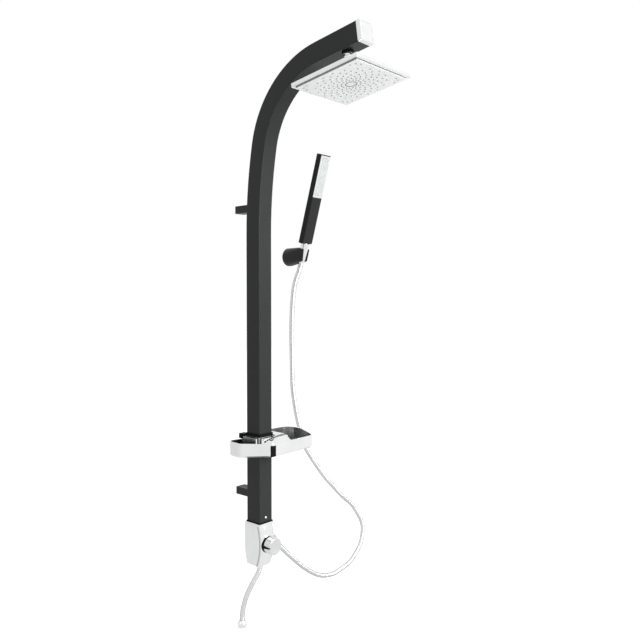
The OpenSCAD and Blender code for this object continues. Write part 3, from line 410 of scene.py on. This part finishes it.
def finish(name, colour, second, smooth, rough, tone_scale=8.0, metallic=0.0, grain=None, depth=0.0,
           brushed=False, specular=0.5, handled_scale=20.0):
    """A material of one of the set's finishes, with tone, roughness and grain that vary over the surface."""
    material = bpy.data.materials.new(name)
    material.use_nodes = True
    tree = material.node_tree
    shader = tree.nodes["Principled BSDF"]
    shader.inputs["Metallic"].default_value = metallic
    shader.inputs["Specular IOR Level"].default_value = specular
    tone = effect(tree, TONE, Colour=(*colour, 1), Second_colour=(*second, 1), Scale=tone_scale)
    tree.links.new(tone["Colour"], shader.inputs["Base Color"])
    if brushed:
        surface = effect(tree, BRUSHED, Smooth=smooth, Rough=rough, Scale=grain)
        height = surface["Height"]
    else:
        surface = effect(tree, HANDLED, Smooth=smooth, Rough=rough, Scale=handled_scale)
        height = effect(tree, GRAIN, Scale=grain)["Height"] if grain else None
    tree.links.new(surface["Roughness"], shader.inputs["Roughness"])
    if height:
        bump = add(tree, "Bump")
        bump.inputs["Strength"].default_value = 1.0
        bump.inputs["Distance"].default_value = depth
        tree.links.new(height, bump.inputs["Height"])
        tree.links.new(bump.outputs["Normal"], shader.inputs["Normal"])
    return material


black_coat = finish("satin black coat", (0.024, 0.025, 0.025), (0.028, 0.029, 0.029), 0.30, 0.38, 4.0,
                    grain=1300.0, depth=0.00002, specular=0.16)
bright_chrome = finish("bright chrome", (0.84, 0.85, 0.85), (0.89, 0.895, 0.895), 0.09, 0.16, 30.0,
                       metallic=1.0)
plated_plastic = finish("plated plastic", (0.84, 0.85, 0.85), (0.90, 0.905, 0.905), 0.11, 0.19, 25.0,
                        metallic=1.0)
black_plastic = finish("fine black plastic", (0.016, 0.0165, 0.0165), (0.020, 0.0205, 0.0205), 0.34, 0.44, 20.0,
                       grain=1800.0, depth=0.00003, specular=0.25)
deep_black = finish("deep black plastic", (0.002, 0.002, 0.002), (0.004, 0.004, 0.004), 0.42, 0.52, 20.0,
                    grain=1800.0, depth=0.00002, specular=0.08)
hand_black = finish("hand shower black", (0.024, 0.0242, 0.0245), (0.028, 0.0282, 0.0285), 0.20, 0.28, 20.0,
                    grain=1600.0, depth=0.000015, specular=0.06)
face_plastic = finish("pale spray face", (0.87, 0.89, 0.88), (0.91, 0.925, 0.915), 0.22, 0.34, 12.0,
                      grain=1400.0, depth=0.00001)
grey_silicone = finish("grey silicone", (0.37, 0.39, 0.385), (0.43, 0.45, 0.445), 0.5, 0.62, 60.0,
                       grain=2500.0, depth=0.00002)
pale_silicone = finish("pale grey silicone", (0.46, 0.49, 0.48), (0.53, 0.555, 0.545), 0.5, 0.62, 60.0,
                       grain=2500.0, depth=0.00002)
black_rubber = finish("black rubber", (0.016, 0.016, 0.016), (0.024, 0.024, 0.024), 0.6, 0.75, 60.0,
                      grain=2200.0, depth=0.00003)
grey_rubber = finish("grey rubber", (0.29, 0.295, 0.295), (0.33, 0.335, 0.335), 0.6, 0.75, 60.0,
                     grain=2200.0, depth=0.00002)
housing_chrome = finish("chrome housing", (0.84, 0.85, 0.85), (0.89, 0.895, 0.895), 0.09, 0.16, 30.0,
                        metallic=1.0)
knob_chrome = finish("chrome knob", (0.73, 0.74, 0.74), (0.79, 0.80, 0.80), 0.09, 0.16, 30.0, metallic=1.0)
# Painted shade: a darker plating colour for the walls and floors of the tray's hollows
tray_hollow_shade = finish("painted shade in the tray's hollows", (0.28, 0.285, 0.29), (0.46, 0.465, 0.47), 0.22, 0.34,
                     25.0, metallic=1.0)
turned_brass = finish("turned brass", (0.60, 0.43, 0.17), (0.68, 0.50, 0.22), 0.22, 0.36, 40.0, metallic=1.0,
                      brushed=True, grain=1400.0, depth=0.00002)
plain_steel = finish("plain steel", (0.48, 0.49, 0.50), (0.56, 0.57, 0.58), 0.24, 0.40, 40.0, metallic=1.0,
                     brushed=True, grain=1200.0, depth=0.00002)


def tint(material, group, colour, metallic):
    """Lets a mask turn the finish's colour and metal into others."""
    tree = material.node_tree
    shader = tree.nodes["Principled BSDF"]
    mask = effect(tree, group)["Mask"]
    base = shader.inputs["Base Color"].links[0].from_socket
    tree.links.new(blend_colours(tree, mask, base, colour), shader.inputs["Base Color"])
    tree.links.new(spread(tree, mask, target=(1.0, metallic)), shader.inputs["Metallic"])


# Painted dark reflection: a darker chrome strip where the housing's bowed front turns into its flat sides
tint(housing_chrome, BOW_EDGE_REFLECTION, (0.33, 0.335, 0.34), 1.0)
# Painted dark reflection: a black line on the knob's chrome that carries the dark wedge on to the front edge
tint(knob_chrome, KNOB_DARK_REFLECTION, (0.003, 0.003, 0.003), 0.0)

# Finishes by the record's material slot, and those of single nodes that look different
FINISHES = {
    "black_paint": black_coat, "chrome_metal": bright_chrome, "chrome_plastic": plated_plastic,
    "black_plastic": black_plastic, "handset_black": hand_black, "face_plastic": face_plastic,
    "nozzle_rubber": grey_silicone, "black_rubber": black_rubber, "grey_rubber": grey_rubber,
    "brass": turned_brass, "steel": plain_steel,
}
NODE_FINISHES = {
    "diverter_housing": housing_chrome, "knob": knob_chrome, "neck_fitting": bright_chrome,
    # The deep black of knob_index is a painted dark reflection on the knob's side, and that of cartridge_ring is
    # painted shade in the gap between knob and housing
    "handset_nozzles": pale_silicone, "cartridge_ring": deep_black, "knob_index": deep_black,
    "clamp_screw": deep_black, "clamp_nut": deep_black, "tray_insert": deep_black, "tray_clamp": deep_black,
    "foot_seal": deep_black, "neck_collar": deep_black,
}

# Painted shade in the strip's grooves, and a painted dark reflection on the flanks at the hose's outline
GROOVE_SHADE = (0.50, 0.505, 0.51)
FLANK_REFLECTION = (0.20, 0.205, 0.21)
FLANK_FACING = (0.35, 0.85)  # how far the surface turns away from the view where the flank begins and is full


def hose_steel():
    """Wound steel strip: the turns shine, painted shade darkens the grooves between them, and a painted dark
    reflection darkens the flanks at the outline.
    """
    material = finish("wound hose strip", (0.78, 0.79, 0.79), (0.85, 0.86, 0.86), 0.20, 0.32, 60.0,
                      metallic=1.0, handled_scale=60.0)
    tree = material.node_tree
    shader = tree.nodes["Principled BSDF"]
    tone = shader.inputs["Base Color"].links[0].from_socket
    groove = add(tree, "Attribute", attribute_name="groove").outputs["Fac"]
    groove_shaded = blend_colours(tree, groove, tone, GROOVE_SHADE)
    # Painted dark reflection: the colour darkens where the turns' round flanks face away towards the hose's
    # outline
    slope = add(tree, "LayerWeight")
    slope.inputs["Blend"].default_value = 0.5
    flank = spread(tree, slope.outputs["Facing"], FLANK_FACING)
    tree.links.new(blend_colours(tree, flank, groove_shaded, FLANK_REFLECTION), shader.inputs["Base Color"])
    return material


# ---------------------------------------------------------------- CAD nodes: material and eased edges

SLOT_OF = {s["node"]: s["material_slot"] for s in frame["record"]["subparts"]}

FLAT_WITHIN = math.radians(0.3)   # faces that meet flatter than this are one face
EASE_OVER = math.radians(38)      # edges sharper than this are eased
CREASE_OVER = math.radians(34)    # and edges sharper than this stay creases
# Width of the eased edges, in millimetres, for the nodes whose edges show
EASED = {
    "end_cap": 0.5, "neck_collar": 0.4, "ball_stem": 0.3, "ball_nut": 0.4,
    "lower_bracket": 0.8, "upper_bracket": 0.8, "lower_wall_plate": 0.3, "upper_wall_plate": 0.3,
    "foot_seal": 0.4, "diverter_housing": 0.6, "housing_screw": 0.2, "cartridge_ring": 0.3, "knob": 0.4,
    "outlet_elbow": 0.4, "hose_end_nut": 0.5, "supply_top_nut": 0.5, "supply_end_nut": 0.5,
    "head_shell": 0.4, "face_gasket": 0.2, "head_face": 0.3, "nozzle_mat": 0.25, "holder_cone": 0.5,
    "handset_body": 0.5, "handset_face": 0.4, "handset_nozzles": 0.2, "hose_cone_nut": 0.5, "hose_ferrule": 0.4,
    "tray_body": 0.7, "tray_insert": 0.4, "tray_clamp": 0.6, "clamp_screw": 0.3, "clamp_nut": 0.3,
}


def ease_edges(obj, width):
    """Rounds the sharp edges of a CAD node a little, with modifiers, so that they catch the light."""
    if "custom_normal" in obj.data.attributes:
        obj.data.attributes.remove(obj.data.attributes["custom_normal"])
    obj.data.shade_smooth()
    weld = obj.modifiers.new("joined corners", "WELD")
    weld.merge_threshold = SAME_POINT
    flat = obj.modifiers.new("flat faces", "DECIMATE")
    flat.decimate_type = "DISSOLVE"
    flat.angle_limit = FLAT_WITHIN
    flat.delimit = {"MATERIAL"}
    if width:
        edge = obj.modifiers.new("eased edges", "BEVEL")
        edge.width = width * MM
        edge.segments = 2
        edge.limit_method = "ANGLE"
        edge.angle_limit = EASE_OVER
        edge.use_clamp_overlap = True
    split = obj.modifiers.new("kept creases", "EDGE_SPLIT")
    split.split_angle = CREASE_OVER
    level = obj.modifiers.new("level flats", "WEIGHTED_NORMAL")
    level.mode = "FACE_AREA"
    level.weight = 100
    level.thresh = 0.001


# Tray seen from above: circles (x, y, radius) whose hull is its outline, and its measures, in millimetres
TRAY_CIRCLES = [(4, -117, 14), (-46, -62, 22), (-48, -44, 20), (125, -66, 34), (147, -104, 20)]
TRAY_FOOT = 107
TRAY_WALL = 2.5
GROOVE_Y = (-118, -113)
# Heights over the foot: above the underside, just over the basins' floors, and above the groove's bottom
INSIDE_OVER, FLOORS_UNDER, GROOVE_OVER = 1, 8, 15
UPRIGHT = 0.5      # a face whose normal rises less than this is a wall
NEAR_WALL = 0.5    # how much nearer than a wall's thickness a hollow may come to the outline
CIRCLE_STEPS = 180


def depth_in_tray(x, y):
    """How far a point lies inside the tray's outline, in millimetres."""
    depths = []
    for k in range(CIRCLE_STEPS):
        angle = 2 * math.pi * k / CIRCLE_STEPS
        c, s = math.cos(angle), math.sin(angle)
        depths.append(max(a * c + b * s + r for a, b, r in TRAY_CIRCLES) - x * c - y * s)
    return min(depths)


def paint_hollow_shade(obj, material):
    """Gives the walls and floors of the tray's basins, slots and groove the darker material, which is painted
    shade.
    """
    obj.data.materials.append(material)
    for face in obj.data.polygons:
        x, y, z = (c / MM for c in face.center)
        a, b, up = face.normal
        over = z - TRAY_FOOT
        in_groove = GROOVE_Y[0] < y < GROOVE_Y[1] and over > GROOVE_OVER
        if over > INSIDE_OVER and (up < UPRIGHT or over < FLOORS_UNDER or in_groove):
            # Measured a wall's thickness in front of the face, which is outside the tray for an outer face
            if depth_in_tray(x + TRAY_WALL * a, y + TRAY_WALL * b) > TRAY_WALL - NEAR_WALL:
                face.material_index = 1


for node_name, node_object in NODES.items():
    slot_finish = FINISHES.get(SLOT_OF[node_name], plain_steel)
    node_object.data.materials.clear()
    node_object.data.materials.append(NODE_FINISHES.get(node_name, slot_finish))
    ease_edges(node_object, EASED.get(node_name, 0))
paint_hollow_shade(NODES["tray_body"], tray_hollow_shade)

photo_camera()

DOWN = (0, 0, -1)
DOWN_RIGHT = (1, 0, -1)
UP_HAND = (0, -math.sin(LEAN), math.cos(LEAN))
hand_line, hand_length = smooth_line([OUTLET_END] + HAND_ROUTE + [CLIP_END], DOWN_RIGHT, UP_HAND)
supply_line, supply_length = smooth_line([SUPPLY_START] + SUPPLY_ROUTE + [SUPPLY_END], DOWN, DOWN)
steel_strip = hose_steel()

hand_hose = sheath("hand_hose", hand_line, hand_length, HOSE_D)
hand_hose.data.materials.append(steel_strip)
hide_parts("shower_hose", "shower_hose_top")
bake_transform(hand_hose)

feed_hose = sheath("feed_hose", supply_line, supply_length, HOSE_D)
feed_hose.data.materials.append(steel_strip)
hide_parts("supply_hose")
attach(feed_hose, "shower_column")


# ---------------------------------------------------------------- studio

ROOM_LIGHT = 0.55                   # of the room on matt surfaces
HORIZON = (0.90, 0.905, 0.905)      # tint that mirrors see at the height of the horizon and below
WHITE_FROM = 0.6                    # how high the room has turned white
# Mirrors see the room and the floor darker behind the left side, where the set's left faces mirror them, and
# full in front
TO_FRONT = (0.66, -0.75, 0)
MIRRORED_ROOM = (0.88, 1.10)
MIRRORED_FLOOR = (0.78, 1.0)
FLOOR_Z = -1.0
FLOOR_HALF = 14
FLOOR_WHITE = (0.90, 0.90, 0.90)
FADE_REACH = (-5.0, 5.0)            # of the mirrored floor's change of tone
# The lamps light the floor near the set, which keeps its shadow. Farther out the camera's white is lifted.
LIFT_REACH = (0.5, 1.5)
LIFT = (0.08, 0.6)
SET_MIDDLE = (0.1, -0.1, 0.4)


def to_front(tree, place):
    """How far a place lies towards the front right."""
    node = add(tree, "VectorMath", operation="DOT_PRODUCT")
    tree.links.new(place, node.inputs[0])
    node.inputs[1].default_value = TO_FRONT
    return node.outputs["Value"]


def seen_white(tree, lit):
    """Plain white for camera and glass rays, and the lit shader for all others."""
    rays = add(tree, "LightPath").outputs
    seen = calc(tree, "MAXIMUM", rays["Is Camera Ray"], rays["Is Transmission Ray"])
    white = add(tree, "Background")
    white.inputs["Color"].default_value = (1, 1, 1, 1)
    return blend_shaders(tree, seen, lit, white.outputs[0])


def studio_world():
    """A plain bright room: even on matt surfaces, softly graded in mirrors, white where the camera looks."""
    world = bpy.data.worlds.new("studio")
    bpy.context.scene.world = world
    world.use_nodes = True
    tree = world.node_tree
    even = tree.nodes["Background"]
    even.inputs["Color"].default_value = (1, 1, 1, 1)
    even.inputs["Strength"].default_value = ROOM_LIGHT
    place = add(tree, "TexCoord").outputs["Generated"]
    ramp = add(tree, "ValToRGB")
    tree.links.new(split_axes(tree, place)["Z"], ramp.inputs["Fac"])
    low_stop, high_stop = ramp.color_ramp.elements
    low_stop.position, low_stop.color = 0.0, (*HORIZON, 1)
    high_stop.position, high_stop.color = WHITE_FROM, (1, 1, 1, 1)
    graded = add(tree, "Background")
    tree.links.new(ramp.outputs["Color"], graded.inputs["Color"])
    tree.links.new(spread(tree, to_front(tree, place), (-1.0, 1.0), MIRRORED_ROOM), graded.inputs["Strength"])
    mirrored = add(tree, "LightPath").outputs["Is Glossy Ray"]
    lit = blend_shaders(tree, mirrored, even.outputs[0], graded.outputs[0])
    tree.links.new(seen_white(tree, lit), tree.nodes["World Output"].inputs["Surface"])


def floor_material():
    """Matt white that keeps the set's shadow, lifted for the camera farther out, and graded in mirrors."""
    material = bpy.data.materials.new("pale floor")
    material.use_nodes = True
    tree = material.node_tree
    tree.nodes.remove(tree.nodes["Principled BSDF"])
    rays = add(tree, "LightPath").outputs
    place = position(tree)
    matt = add(tree, "BsdfDiffuse")
    matt.inputs["Color"].default_value = (*FLOOR_WHITE, 1)
    away = add(tree, "VectorMath", operation="LENGTH")
    tree.links.new(place, away.inputs[0])
    lift = spread(tree, away.outputs["Value"], LIFT_REACH, LIFT)
    lifted = add(tree, "Emission")
    tree.links.new(calc(tree, "MULTIPLY", rays["Is Camera Ray"], lift), lifted.inputs["Strength"])
    seen = add(tree, "AddShader")
    tree.links.new(matt.outputs[0], seen.inputs[0])
    tree.links.new(lifted.outputs[0], seen.inputs[1])
    graded = add(tree, "Emission")
    tree.links.new(spread(tree, to_front(tree, place), FADE_REACH, MIRRORED_FLOOR), graded.inputs["Strength"])
    surface = blend_shaders(tree, rays["Is Glossy Ray"], seen.outputs[0], graded.outputs[0])
    tree.links.new(surface, tree.nodes["Material Output"].inputs["Surface"])
    return material


def studio_floor():
    """A pale floor a metre below the lower bracket, as under a shower on its wall."""
    mesh = bmesh.new()
    bmesh.ops.create_grid(mesh, x_segments=1, y_segments=1, size=FLOOR_HALF)
    floor = mesh_object("studio_floor", mesh, smooth=False)
    floor.location = (0, 0, FLOOR_Z)
    floor.data.materials.append(floor_material())


def soft_light(name, place, aim, size, power):
    """A rectangular lamp of a size in metres and a power in watts, turned to what it aims at."""
    data = bpy.data.lights.new(name, "AREA")
    data.shape = "RECTANGLE"
    data.size, data.size_y = size
    data.energy = power
    light = bpy.data.objects.new(name, data)
    bpy.context.scene.collection.objects.link(light)
    light.location = place
    light.rotation_euler = (Vector(place) - Vector(aim)).to_track_quat("Z", "Y").to_euler()
    light.visible_camera = False


studio_world()
studio_floor()
soft_light("front_box", (0.9, -3.0, 1.6), SET_MIDDLE, (1.6, 2.4), 110)
soft_light("left_box", (-3.2, 0.6, 1.2), SET_MIDDLE, (1.2, 2.4), 3)
soft_light("top_box", (0.3, -0.6, 3.4), (0.1, -0.2, 0.4), (2.0, 2.0), 26)

bpy.context.scene.view_settings.view_transform = "Standard"
